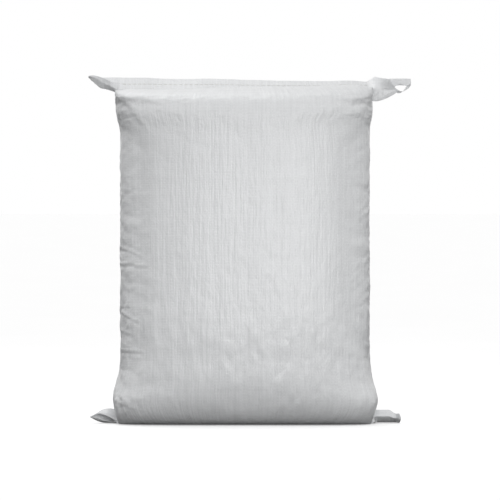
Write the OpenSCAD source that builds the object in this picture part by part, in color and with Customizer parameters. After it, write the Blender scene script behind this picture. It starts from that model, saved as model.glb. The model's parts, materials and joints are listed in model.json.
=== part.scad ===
// Filled woven sack for bulk goods: a pillow sack of circular-woven polypropylene tube,
// standing upright. Its mouth and its foot are each folded over and chain-stitched shut,
// and the four corners of the tube stick out as flat ears that fold at their roots.
// Units are millimetres. +Z is up, the front faces -Y, and the sack stands on z = 0.

/* [Filled body] */
// Width of the woven tube laid flat, which is the span from ear tip to ear tip
lay_flat_w = 501; // [480:1:540]
// Width of the filled body at the middle of its height
filled_w = 392; // [372:2:400]
// Depth of the filled body at its fullest; its girth comes to twice lay_flat_w
filled_d = 192; // [180:2:220]
// Height of the crease where the flat mouth begins
crease_h = 518; // [500:2:560]
// Height at which the body is fullest
fullest_h = 190; // [160:5:220]
// Thickness that stands for the woven wall
wall_t = 1; // [0.8:0.1:1.4]
// Gap between the wall and the goods inside it
fill_gap = 1.6; // [1.4:0.2:2.4]

/* [Foot] */
// Half width of the flat patch that the sack stands on
foot_half_w = 165; // [150:1:175]
// Half depth of the flat patch that the sack stands on
foot_half_d = 66; // [60:1:80]
// How far the goods push each side out just above the foot
foot_bulge = 10; // [6:1:12]

/* [Folded hems] */
// Length of the closed mouth's band, from its crease to its folded edge
band_l = 30; // [26:1:36]
// Angle by which the band leans back from upright
band_lean = 52; // [44:1:56]
// Length of the foot's hem, from its crease to its folded edge
hem_l = 28; // [26:1:34]
// Width of the ply that is turned over in each hem
turned_l = 19; // [16:1:20]
// Thickness of the two plies of the tube pressed together
ply_t = 1.1; // [0.9:0.1:1.2]

/* [Ears] */
// Distance of the upper ears' fold lines from the middle
top_fold_x = 198.5; // [197:0.5:202]
// Height of an upper ear's root
top_ear_h = 46; // [40:1:48]
// Angle by which the upper ears' fold lines lean back from upright
top_ear_lean = 30; // [24:1:34]
// Distance of the lower ears' fold lines from the middle
foot_fold_x = 207; // [205:0.5:210]
// Height of a lower ear's root
foot_ear_h = 21; // [16:1:22]
// Thickness of an ear
ear_t = 3; // [2:0.2:3.4]

/* [Stitches] */
// Length of one chain stitch
stitch_l = 8; // [6:0.5:10]
// Thickness of the sewing threads
thread_t = 0.8; // [0.6:0.1:0.9]

/* [Hidden] */

fabric = [0.90, 0.91, 0.92];
fabric_shade = [0.82, 0.83, 0.84];
thread_white = [0.97, 0.97, 0.95];
grain = [0.80, 0.68, 0.45];

ring_sides = 40;             // corners of one level ring of the body
ring_count = 20;             // steps from the foot to the crease
lip_half_d = 2.2;            // half depth of the body at the crease
shoulder_bulge = 4;          // how far the goods push each side out below the crease
shoulder_h = crease_h - 34;  // height of that upper bulge
shoulder_spread = 22;        // half height of the upper bulge
crease_pinch = 3;            // how much narrower the body is at the crease
pinch_h = 30;                // height over which it narrows
bulge_h = 40;                // height of the lower bulge
bulge_spread = 28;           // half height of the lower bulge
corner_h = 45;               // height over which the lower corners round in
corner_power = 4;            // how late the lower corners round in
taper_power = 12;            // how late the body begins to close towards the crease
taper_bow = 0.62;            // how full it stays as it closes
heel_power = 2.6;            // how late the front and back round in towards the foot
belly_power = 3;             // squareness of a level section at the belly
mouth_power = 2.2;           // squareness at the crease, nearly an oval
mouth_power_h = crease_h - 42;  // height where the section begins to grow oval
wall_end_h = 80;             // distance from the fullest level where an inset is all sideways and endways
fill_top_drop = 6;           // how far below the crease the goods stop

crease_gap = 1.2;            // room for the band to turn above the body
ear_gap = 1.2;               // room for an ear to turn beside its neighbour
ply_gap = 0.1;               // gap between a hem's turned ply and the plies it lies on
seam_up = 14;                // distance of the stitch line from a hem's crease
ear_root_drop = 18;          // how far below the crease an upper ear's root begins
recess_play = 0.4;           // room above the foot hem's stitches
hem_end_gap = 1.5;           // distance of a hem's end from the ear's fold line
hem_start_y = -2;            // where the foot's hem begins, front to back
hem_level = ply_t / 2 + ply_gap + ply_t + thread_t;  // height of the foot hem's middle ply
recess_h = hem_level + ply_t / 2 + thread_t + recess_play;  // its room
recess_side = 1;             // room in front of and behind the hem

band_w = 2 * (top_fold_x - hem_end_gap);
hem_w = 2 * (foot_fold_x - hem_end_gap);

function smooth(t) = let (c = max(0, min(1, t))) c * c * (3 - 2 * c);
function hump(z, middle, spread) = exp(-pow((z - middle) / spread, 2));
function signed_power(v, p) = sign(v) * pow(abs(v), p);

// Half width at height z: straight sides, a bulge near each end, round lower corners
function half_w(z) =
    let (
        side = filled_w / 2 + foot_bulge * hump(z, bulge_h, bulge_spread)
            + shoulder_bulge * hump(z, shoulder_h, shoulder_spread)
            - crease_pinch * smooth((z - shoulder_h) / pinch_h),
        low = max(0, (corner_h - z) / corner_h)
    )
    side - (side - foot_half_w) * (1 - sqrt(1 - pow(low, corner_power)));

// Half depth at height z: a full belly that closes to a lip above and a flat foot below
function half_d(z) =
    z > fullest_h
        ? lip_half_d + (filled_d / 2 - lip_half_d)
            * pow(1 - pow((z - fullest_h) / (crease_h - fullest_h), taper_power), taper_bow)
        : foot_half_d + (filled_d / 2 - foot_half_d)
            * sqrt(1 - pow((fullest_h - z) / fullest_h, heel_power));

// Power of the rounded rectangle at height z: squarer at the belly, an oval at the mouth
function squareness(z) =
    belly_power
        - (belly_power - mouth_power) * smooth((z - mouth_power_h) / (crease_h - mouth_power_h));

// One level ring, drawn in from the outer surface by inset
function ring(z, inset) =
    let (
        nearer_end = z + inset * max(-1, min(1, (z - fullest_h) / wall_end_h)),
        at = max(0, min(crease_h, nearer_end)),
        a = half_w(at) - inset,
        b = max(half_d(at) - inset, 0.5),
        p = 2 / squareness(at)
    )
    [for (k = [0 : ring_sides - 1])
        let (turn = 360 * k / ring_sides)
        [a * signed_power(cos(turn), p), b * signed_power(sin(turn), p), z]];

// The filled shape, from a flat bottom up to a flat top, as rings joined by triangles
module body_shape(inset, top_drop) {
    bottom = inset;
    height = crease_h - top_drop - bottom;
    levels = [for (i = [0 : ring_count]) bottom + height * (1 - cos(180 * i / ring_count)) / 2];
    points = [for (z = levels) each ring(z, inset)];
    last = ring_count * ring_sides;
    sides = [for (i = [0 : ring_count - 1], k = [0 : ring_sides - 1])
        let (
            a = i * ring_sides + k,
            b = i * ring_sides + (k + 1) % ring_sides,
            c = a + ring_sides,
            d = b + ring_sides
        )
        each [[a, c, b], [b, c, d]]];
    polyhedron(
        points = points,
        faces = concat(
            [[for (k = [0 : ring_sides - 1]) k]],
            [[for (k = [ring_sides - 1 : -1 : 0]) last + k]],
            sides
        )
    );
}

// The shallow channel under the foot where the hem lies, grown by a margin
module hem_channel(margin) {
    translate([-foot_fold_x, hem_start_y - recess_side - margin, -1])
        cube([2 * foot_fold_x, hem_l + 2 * recess_side + 2 * margin, 1 + recess_h + margin]);
}

module bulk_fill() {
    inset = wall_t + fill_gap;
    color(grain)
        difference() {
            body_shape(inset, fill_top_drop);
            hem_channel(inset);
        }
}

module woven_sleeve() {
    color(fabric)
        difference() {
            body_shape(0, 0);
            difference() {
                body_shape(wall_t, 2 * wall_t);
                hem_channel(wall_t);
            }
            hem_channel(0);
        }
}

// Cross-section of a folded hem: the tube's two plies, turned over once at the free edge.
// It stands on its crease, and the turned ply is on its +X side.
module hem_section(length) {
    turn_r = ply_t + ply_gap / 2;
    turn_x = (ply_t + ply_gap) / 2;
    turn_y = length - turn_r;
    translate([-ply_t / 2, 0])
        square([ply_t, turn_y]);
    translate([ply_t / 2 + ply_gap, length - turned_l])
        square([ply_t, turned_l - turn_r]);
    translate([turn_x, turn_y])
        intersection() {
            difference() {
                circle(turn_r, $fn = 48);
                circle(ply_gap / 2, $fn = 48);
            }
            translate([-turn_r, 0])
                square([2 * turn_r, turn_r]);
        }
}

// A hem as long as width, lying along X
module folded_hem(length, width) {
    translate([-width / 2, 0, 0])
        rotate([90, 0, 90])
            linear_extrude(width)
                hem_section(length);
}

// The needle thread of a chain stitch: a row of raised stitches on the face,
// with a leg through every needle hole to the back
module needle_thread(width) {
    count = floor((width - stitch_l) / stitch_l);
    start = -count * stitch_l / 2;
    face = -ply_t / 2;
    through = ply_t / 2 + ply_gap + ply_t;
    leg = thread_t / 2;
    legs = [for (i = [0 : count]) let (x = start + i * stitch_l)
        each [[x - leg, face], [x - leg, through], [x + leg, through], [x + leg, face]]];
    crowns = [for (i = [count : -1 : 1]) let (x = start + i * stitch_l)
        each [
            [x, face - thread_t / 2],
            [x - stitch_l / 4, face - thread_t],
            [x - stitch_l * 3 / 4, face - thread_t]
        ]];
    ends = [[start, face - thread_t / 2]];
    translate([0, 0, seam_up - thread_t / 2])
        linear_extrude(thread_t)
            polygon(concat(legs, crowns, ends));
}

// The looper thread of a chain stitch: a flat chain of loops along the back
module looper_thread(width) {
    count = floor((width - stitch_l) / stitch_l);
    start = -count * stitch_l / 2;
    back = ply_t / 2 + ply_gap + ply_t;
    upper = [for (i = [0 : count - 1]) let (x = start + i * stitch_l)
        each [[x, thread_t / 2], [x + stitch_l / 2, thread_t * 1.4]]];
    lower = [for (i = [count - 1 : -1 : 0]) let (x = start + i * stitch_l)
        each [[x + stitch_l / 2, -thread_t * 1.4], [x, -thread_t / 2]]];
    tip = [[start + count * stitch_l, 0]];
    translate([0, back + thread_t, seam_up])
        rotate([90, 0, 0])
            linear_extrude(thread_t)
                polygon(concat(upper, tip, lower));
}

// Stands a hem on the crease of the mouth and leans it back
module at_mouth() {
    translate([0, 0, crease_h + crease_gap])
        rotate([-band_lean, 0, 0])
            children();
}

// Lays a hem flat under the foot, pointing to the back
module at_foot() {
    translate([0, hem_start_y, hem_level])
        rotate([-90, 0, 0])
            children();
}

module top_band() {
    color(fabric) at_mouth() folded_hem(band_l, band_w);
}

module top_needle_thread() {
    color(thread_white) at_mouth() needle_thread(band_w);
}

module top_looper_thread() {
    color(thread_white) at_mouth() looper_thread(band_w);
}

module foot_hem() {
    color(fabric_shade) at_foot() folded_hem(hem_l, hem_w);
}

module foot_needle_thread() {
    color(thread_white) at_foot() needle_thread(hem_w);
}

module foot_looper_thread() {
    color(thread_white) at_foot() looper_thread(hem_w);
}

// A flat ear standing on its root line, with the outline given outwards and upwards
module flat_ear(outline) {
    rotate([90, 0, 0])
        translate([0, 0, -ear_t / 2])
            linear_extrude(ear_t)
                polygon(outline);
}

// The upper ear on the right: its upper edge runs level to the tip of the tube's corner,
// and its lower edge is the tube's side fold, rising outwards from the root
module upper_ear() {
    reach = lay_flat_w / 2 - top_fold_x;
    translate([top_fold_x, 0, crease_h - ear_root_drop])
        rotate([-top_ear_lean, 0, 0])
            flat_ear([
                [ear_gap, 0],
                [reach * 0.4, top_ear_h * 0.1],
                [reach * 0.75, top_ear_h * 0.34],
                [reach, top_ear_h * 0.66],
                [reach, top_ear_h * 0.94],
                [ear_gap, top_ear_h]
            ]);
}

// The lower ear on the right: it stands on its edge beside the foot
module lower_ear() {
    reach = lay_flat_w / 2 - foot_fold_x;
    translate([foot_fold_x, hem_start_y + hem_l / 2, 0])
        flat_ear([
            [ear_gap, 0],
            [reach, 0],
            [reach, foot_ear_h * 0.6],
            [reach * 0.72, foot_ear_h],
            [ear_gap, foot_ear_h]
        ]);
}

module top_right_ear() {
    color(fabric_shade) upper_ear();
}

module top_left_ear() {
    color(fabric_shade) mirror([1, 0, 0]) upper_ear();
}

module foot_right_ear() {
    color(fabric_shade) lower_ear();
}

module foot_left_ear() {
    color(fabric_shade) mirror([1, 0, 0]) lower_ear();
}

bulk_fill();
woven_sleeve();
top_band();
top_needle_thread();
top_looper_thread();
top_left_ear();
top_right_ear();
foot_hem();
foot_needle_thread();
foot_looper_thread();
foot_left_ear();
foot_right_ear();
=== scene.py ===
"""The looks of a filled woven sack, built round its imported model. All lengths are metres in the model's
frame: +Z is up, the front faces -Y, and the sack stands on z = 0."""
import json
import math

import bmesh
import bpy
import numpy as np
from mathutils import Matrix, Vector


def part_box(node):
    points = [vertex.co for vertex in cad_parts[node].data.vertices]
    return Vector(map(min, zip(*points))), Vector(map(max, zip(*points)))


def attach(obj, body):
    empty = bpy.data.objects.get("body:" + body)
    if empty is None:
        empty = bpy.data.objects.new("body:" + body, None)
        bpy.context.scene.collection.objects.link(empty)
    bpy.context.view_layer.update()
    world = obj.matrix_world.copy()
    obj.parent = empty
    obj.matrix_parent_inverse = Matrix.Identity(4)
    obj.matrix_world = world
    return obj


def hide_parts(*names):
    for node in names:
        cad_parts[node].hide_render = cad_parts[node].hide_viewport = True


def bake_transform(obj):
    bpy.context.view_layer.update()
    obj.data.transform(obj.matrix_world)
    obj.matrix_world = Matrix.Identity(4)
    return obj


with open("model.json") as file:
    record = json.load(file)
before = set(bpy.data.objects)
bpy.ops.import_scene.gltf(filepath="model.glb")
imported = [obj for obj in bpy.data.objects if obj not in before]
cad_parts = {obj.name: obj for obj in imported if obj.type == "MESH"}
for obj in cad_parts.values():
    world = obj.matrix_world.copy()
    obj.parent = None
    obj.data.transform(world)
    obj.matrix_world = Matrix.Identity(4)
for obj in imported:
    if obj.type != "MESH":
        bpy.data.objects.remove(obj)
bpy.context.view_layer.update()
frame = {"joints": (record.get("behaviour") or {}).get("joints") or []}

bl_info = {
    "name": "Woven sack",
    "version": (1, 0, 0),
    "blender": (4, 5, 0),
    "location": "View3D > Sidebar > Sack",
    "description": "Makes a filled woven sack from its relaxed cloth, folded hems, ears and stitches",
    "category": "Add Mesh",
}

# ---------------------------------------------------------------- sizes from the frame

WALL_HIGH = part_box("woven_sleeve")[1]
HEM_LOW, HEM_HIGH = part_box("foot_hem")
EAR_TIP_X = float(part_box("top_right_ear")[1].x)
JOINTS = {joint["name"]: joint for joint in frame["joints"]}

CREASE_Z = float(WALL_HIGH.z)             # where the closed mouth begins
HALF_DEPTH = float(WALL_HIGH.y)           # of the belly
MOUTH_HINGE_Z = JOINTS["mouth_fold"]["pos_m"][2]
TOP_FOLD_X = JOINTS["upper_right_fold"]["pos_m"][0]
FOOT_FOLD_X, FOOT_FOLD_Y = JOINTS["lower_right_fold"]["pos_m"][:2]
HEM_START_Y = float(HEM_LOW.y)
HEM_HALF_W = float(HEM_HIGH.x)

# the filled shape, close to the wall's own formulas, with the corners that the rigid wall rounds off
SIDE_X = 0.196                            # half width of the straight sides
FULLEST_Z = 0.190                         # height of the fullest level
FOOT_HALF_W = 0.196                       # flat patch under the sack
FOOT_HALF_D = 0.056
LIP_HALF_D = 0.0022                       # half depth at the crease

# the folded hems
BAND_L = 0.030                            # from the mouth's crease to its free edge
HEM_L = 0.028                             # from the foot's crease to its free edge
TURNED_L = 0.019                          # the ply turned over in each hem
SEAM_UP = 0.014                           # the stitch line, up from a crease
HEM_LEVEL = 0.00255                       # height of the foot hem's middle ply
DOUBLE_PLY = 0.0006                       # thickness of two plies pressed together
SINGLE_PLY = 0.0004                       # thickness of one ply

# ---------------------------------------------------------------- small numpy helpers


def smooth(t):
    """3t^2 - 2t^3, held at 0 before 0 and at 1 after 1."""
    t = np.clip(t, 0.0, 1.0)
    return t * t * (3.0 - 2.0 * t)


def hump(t, middle, spread):
    """A bell of height 1 at middle: e to the power of minus the squared distance over spread."""
    return np.exp(-((t - middle) / spread) ** 2)


def hills(u, v, size_u, size_v, seed):
    """Smooth random hills from -1 to 1: a random height at each corner of a net of cells, joined by
    smooth()."""
    heights = np.random.default_rng(seed).uniform(-1.0, 1.0, (128, 128))
    a, b = u / size_u, v / size_v
    i, j = np.floor(a).astype(int), np.floor(b).astype(int)
    s, t = smooth(a - i), smooth(b - j)
    corner = [[heights[(i + p) % 128, (j + q) % 128] for q in (0, 1)] for p in (0, 1)]
    near = corner[0][0] * (1.0 - t) + corner[0][1] * t
    far = corner[1][0] * (1.0 - t) + corner[1][1] * t
    return near * (1.0 - s) + far * s


def crumple(u, v, seed):
    """Folded facets: the absolute values of hills at four sizes and slants, so that valleys are sharp
    creases."""
    total = np.zeros_like(u)
    for k, (size, slant, share) in enumerate(((0.052, 0.35, 0.42), (0.030, -0.60, 0.28),
                                              (0.017, 0.15, 0.19), (0.010, -0.25, 0.11))):
        sloped = v + slant * u
        total += share * (np.abs(hills(u, sloped, size, size * 0.62, seed + k)) * 2.6 - 1.0)
    return total


def normals(grid, closed):
    """Unit normals of a grid, as the cross product of its two central differences."""
    if closed:
        along = np.roll(grid, -1, 0) - np.roll(grid, 1, 0)
    else:
        along = np.gradient(grid, axis=0)
    across = np.gradient(grid, axis=1)
    n = np.cross(along, across)
    return n / (np.linalg.norm(n, axis=-1, keepdims=True) + 1e-12)


def curve(points, count):
    """A smooth line through a few points: Catmull-Rom pieces, then equal steps along its length."""
    p = np.asarray(points, float)
    p = np.concatenate([2.0 * p[:1] - p[1:2], p, 2.0 * p[-1:] - p[-2:-1]])
    t = np.linspace(0.0, 1.0, 24, endpoint=False)[None, :, None]
    a, b, c, d = p[:-3, None], p[1:-2, None], p[2:-1, None], p[3:, None]
    fine = 0.5 * (2.0 * b + (c - a) * t + (2.0 * a - 5.0 * b + 4.0 * c - d) * t ** 2
                  + (3.0 * b - a - 3.0 * c + d) * t ** 3)
    fine = np.concatenate([fine.reshape(-1, p.shape[1]), p[-2:-1]])
    run = np.concatenate([[0.0], np.cumsum(np.linalg.norm(np.diff(fine, axis=0), axis=1))])
    at = np.linspace(0.0, run[-1], count)
    return np.stack([np.interp(at, run, fine[:, k]) for k in range(p.shape[1])], -1)


# ---------------------------------------------------------------- the filled shape


def half_width(z):
    """Half width of the fill at height z: straight sides, a bulge above the foot, and tight lower
    corners."""
    side = SIDE_X + 0.010 * hump(z, 0.038, 0.030) + 0.0025 * smooth((z - 0.440) / 0.060)
    low = np.clip((0.020 - z) / 0.020, 0.0, 1.0)
    return side - (side - FOOT_HALF_W) * (1.0 - np.sqrt(np.clip(1.0 - low ** 2, 0.0, 1.0)))


def half_depth(z):
    """Half depth of the fill at height z: a full belly that closes to a lip above and a flat foot below."""
    up = np.clip((z - FULLEST_Z) / (CREASE_Z - FULLEST_Z), 0.0, 1.0)
    down = np.clip((FULLEST_Z - z) / FULLEST_Z, 0.0, 1.0)
    heel = np.clip((0.070 - z) / 0.070, 0.0, 1.0)
    above = LIP_HALF_D + (HALF_DEPTH - LIP_HALF_D) * np.clip(1.0 - up ** 36, 0.0, 1.0) ** 0.60
    below = FOOT_HALF_D + (HALF_DEPTH - FOOT_HALF_D) * np.sqrt(np.clip(1.0 - down ** 2.2, 0.0, 1.0))
    below -= 0.018 * (1.0 - np.sqrt(1.0 - heel ** 2))
    return np.where(z > FULLEST_Z, above, below)


def squareness(z):
    """Power of the rounded rectangle at height z: rounder at the belly, squarer towards both ends."""
    return 3.0 + 1.9 * smooth((z - 0.494) / 0.024) + 1.0 * smooth((0.070 - z) / 0.060)


def gauge(p, shrink):
    """How far out a point is in its level section: 1 on the fill's surface, less inside it."""
    z = np.clip(p[..., 2], 0.0, CREASE_Z)
    a = half_width(z) - shrink
    b = np.maximum(half_depth(z) - shrink, 0.0008)
    n = squareness(z)
    return ((np.abs(p[..., 0]) / a) ** n + (np.abs(p[..., 1]) / b) ** n + 1e-12) ** (1.0 / n)


def push_out(p, shrink, reach):
    """Moves points that are inside the fill to its surface, along the gauge's slope, by reach at most."""
    g = gauge(p, shrink)
    step = 0.0004
    slope = np.stack([(gauge(p + step * axis, shrink) - g) / step for axis in np.eye(3)], -1)
    steep = (slope ** 2).sum(-1) + 1e-9
    move = slope * (np.clip(1.0 - g, 0.0, 1.0) / steep)[..., None]
    size = np.sqrt((move ** 2).sum(-1)) + 1e-12
    return p + move * np.minimum(1.0, reach / size)[..., None]


# ---------------------------------------------------------------- the tube of cloth

COLUMNS = 176                             # vertices round the tube
ROWS = 116                                # steps from the foot's crease to the mouth's
GIRTH = 4.0 * EAR_TIP_X                   # twice the tube's lay-flat width
PLY = 0.0003                              # half the gap between the tube's two plies where they meet
HEM_CLEAR = 0.0046                        # height of the cloth over the foot's hem


def mouth_line(x):
    """Height of the mouth's crease across the sack."""
    return CREASE_Z + 0.0010 + 0.0018 * smooth((x - 0.02) / 0.16)


def centre_path(levels=600):
    """The front's middle line from the foot's crease to the mouth's: (length so far, half depth,
    height)."""
    z = CREASE_Z * (1.0 - np.cos(np.linspace(0.0, np.pi, levels))) / 2.0
    y = np.concatenate([[PLY], half_depth(z)])
    z = np.concatenate([[0.0], z])
    run = np.concatenate([[0.0], np.cumsum(np.hypot(np.diff(y), np.diff(z)))])
    return run, y, z


def half_section(a, b, n, count, fins=True):
    """Points along the front half of a level section, left to right, in even steps: an oval, and with
    fins the tube's spare girth laid out flat at both sides."""
    turn = np.linspace(np.pi, 2.0 * np.pi, 720)
    x = a * np.sign(np.cos(turn)) * np.abs(np.cos(turn)) ** (2.0 / n)
    y = -b * np.abs(np.sin(turn)) ** (2.0 / n)
    run = np.concatenate([[0.0], np.cumsum(np.hypot(np.diff(x), np.diff(y)))])
    fin = max(0.0, (GIRTH / 2.0 - run[-1]) / 2.0) if fins else 0.0
    at = np.linspace(0.0, run[-1] + 2.0 * fin, count) - fin
    inside = np.clip(at, 0.0, run[-1])
    out = at - inside
    return np.interp(inside, run, x) + out, np.interp(inside, run, y)


def first_grid():
    """The tube laid round the fill, as (columns, rows + 1, 3). Column 0 is the right side line, and the
    columns run round by the back to the left side line and home by the front."""
    run, depth, height = centre_path()
    marks = np.linspace(0.0, run[-1], ROWS + 1)
    half = COLUMNS // 2
    grid = np.zeros((COLUMNS, ROWS + 1, 3))
    for j, mark in enumerate(marks):
        z = float(np.interp(mark, run, height))
        q = min(1.0, mark / FOOT_HALF_D)
        a = float(half_width(z)) if q >= 1.0 else 0.205 - 0.040 * q
        b = float(np.interp(mark, run, depth))
        x, y = half_section(a, b, float(squareness(z)), half + 1)
        lift = max(0.0, 0.022 * q - min(z, 0.022))
        rise = z + lift * smooth((np.abs(x) - 0.150) / 0.050)
        front = np.stack([x, np.minimum(y, -PLY), rise], -1)
        grid[:half + 1, j] = front[::-1] * [1.0, -1.0, 1.0]
        grid[half:, j] = front[:-1]
        grid[0, j, 1] = grid[half, j, 1] = 0.0
    grid[:, -1, 2] = mouth_line(grid[:, -1, 0])
    grid[:, -1, 1] = 0.0
    grid[:, 0, 1] = HEM_START_Y
    grid[:, 0, 2] = HEM_CLEAR
    return grid, run[-1]


class Relaxer:
    """Pulls a grid of cloth to its true lengths, round the fill, over the floor, with both seams held."""

    def __init__(self, grid, length, seed):
        self.p = grid
        self.du = GIRTH / COLUMNS
        self.dv = length / ROWS
        self.half = COLUMNS // 2
        columns = np.arange(COLUMNS)
        self.across = [(columns[k::2], (columns[k::2] + 1) % COLUMNS) for k in (0, 1)]
        wide = [np.concatenate([columns[k::4], columns[k + 1::4]]) for k in (0, 2)]
        self.across_two = [(c, (c + 2) % COLUMNS) for c in wide]
        right = 1.0 - smooth(np.minimum(columns, COLUMNS - columns) / 22.0)
        left = 1.0 - smooth(np.abs(columns - self.half) / 22.0)
        self.rise = (self.dv * (0.985 - 0.025 * right + 0.012 * left))[:, None]
        rough = np.random.default_rng(seed).normal(0.0, 1.0, grid.shape[:2])
        rough = (rough + np.roll(rough, 1, 0) + np.roll(rough, -1, 0)) / 3.0
        weight = np.maximum(0.6 * right, left)[:, None] + 0.06
        sideways = np.sign(self.p[..., 0]) * np.abs(0.0014 * rough * weight)
        self.p[:, 1:-1, 0] += sideways[:, 1:-1]
        self.p[:, 1:-1, 2] += (0.0008 * np.roll(rough, 5, 0) * weight)[:, 1:-1]
        self.feet = grid[:, 0].copy()
        self.mouth = grid[:, -1].copy()

    def pull(self, a, b, rest, taut, slack):
        """The move that brings two lists of points to their rest distance: by taut if stretched, slack if
        not."""
        gap = b - a
        far = np.sqrt((gap ** 2).sum(-1)) + 1e-9
        off = (far - rest) / far
        return gap * (np.where(off > 0.0, taut, slack) * off * 0.5)[..., None]

    def columns_pull(self, pairs, rest, taut, slack):
        for a, b in pairs:
            move = self.pull(self.p[a], self.p[b], rest, taut, slack)
            self.p[a] += move
            self.p[b] -= move

    def rows_pull(self, gap, rest, taut, slack):
        for k in range(2 * gap):
            low, high = self.p[:, k:-gap:2 * gap], self.p[:, k + gap::2 * gap]
            many = min(low.shape[1], high.shape[1])
            low, high = low[:, :many], high[:, :many]
            move = self.pull(low, high, rest, taut, slack)
            low += move
            high -= move

    def shear_pull(self, stiff):
        rest = np.hypot(self.du, self.dv)
        for turn in (1, -1):
            for k in (0, 1):
                other = np.roll(self.p, -turn, 0)
                low, high = self.p[:, k:-1:2], other[:, k + 1::2]
                move = self.pull(low, high, rest, stiff, stiff)
                low += move
                self.p[:, k + 1::2][:, :move.shape[1]] -= np.roll(move, turn, 0)

    def hold(self):
        """Keeps the plies apart, the cloth above the floor and outside the fill, and the seams on their
        lines."""
        p = self.p
        p[1:self.half, :, 1] = np.maximum(p[1:self.half, :, 1], PLY)
        p[self.half + 1:, :, 1] = np.minimum(p[self.half + 1:, :, 1], -PLY)
        under = (p[..., 2] < 0.010) & (gauge(p, 0.010) < 1.0)
        over_hem = smooth((p[..., 1] + 0.012) / 0.010) * smooth((0.036 - p[..., 1]) / 0.010)
        floor = 0.0006 + (HEM_CLEAR - 0.0006) * over_hem
        p[..., 2] = np.where(under, np.minimum(p[..., 2], floor + 0.0002), p[..., 2])
        p[...] = np.where(under[..., None], p, push_out(p, 0.002, 0.002))
        p[..., 2] = np.maximum(p[..., 2], floor)
        p[:, 0] = self.feet
        p[:, -1] = self.mouth

    def settle(self, hug):
        """Draws loose cloth back towards the fill a little."""
        loose = np.clip(gauge(self.p, 0.002) - 1.0, 0.0, 0.05)
        near = (np.abs(self.p[..., 0]) < 0.197) | (np.abs(self.p[..., 2] - 0.26) < 0.20)
        factor = 1.0 - hug * loose * near
        self.p[..., 0] *= factor
        self.p[..., 1] *= factor

    def run(self, rounds):
        for _ in range(rounds):
            self.settle(0.35)
            self.rows_pull(2, 2.0 * self.rise, 0.0, 0.10)
            self.columns_pull(self.across_two, 2.0 * self.du, 0.0, 0.10)
            self.shear_pull(0.10)
            for _ in range(2):
                self.rows_pull(1, self.rise, 0.9, 0.35)
                self.columns_pull(self.across, self.du, 0.9, 0.35)
            self.hold()
        return self.p


def finer(grid, closed, axis):
    """Doubles a grid along one axis through its own points, by Catmull-Rom midpoints."""
    g = np.moveaxis(grid, axis, 0)
    if closed:
        a, b, c, d = np.roll(g, 1, 0), g, np.roll(g, -1, 0), np.roll(g, -2, 0)
        out = np.empty((2 * len(g),) + g.shape[1:])
    else:
        e = np.concatenate([2.0 * g[:1] - g[1:2], g, 2.0 * g[-1:] - g[-2:-1]])
        a, b, c, d = e[:-3], e[1:-2], e[2:-1], e[3:]
        out = np.empty((2 * len(g) - 1,) + g.shape[1:])
    out[0::2] = g
    out[1::2] = (9.0 * (b + c) - a - d) / 16.0
    return np.moveaxis(out, 0, axis)


def panel_edge_left(z):
    """Where the left side panel meets the front face: well in at mid height, out at both corners."""
    return -0.147 - 0.046 * smooth((z - 0.420) / 0.100) - 0.034 * smooth((0.130 - z) / 0.090)


def panel_edge_right(z):
    """Where the right side panel meets the front face."""
    return 0.146 + 0.030 * smooth((z - 0.420) / 0.080) + 0.052 * smooth((0.175 - z) / 0.150)


# the left side's crisp creases: height, rise per run, depth, and how far in from the side each reaches
SIDE_CREASES = ((0.361, -0.18, 0.0006, 0.028), (0.268, -0.35, 0.0010, 0.040), (0.249, -0.06, 0.0011, 0.052),
                (0.187, 0.24, 0.0006, 0.026), (0.165, -0.55, 0.0009, 0.040), (0.141, -0.22, 0.0007, 0.030),
                (0.114, -0.08, 0.0010, 0.044), (0.086, -0.20, 0.0006, 0.024))


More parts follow.
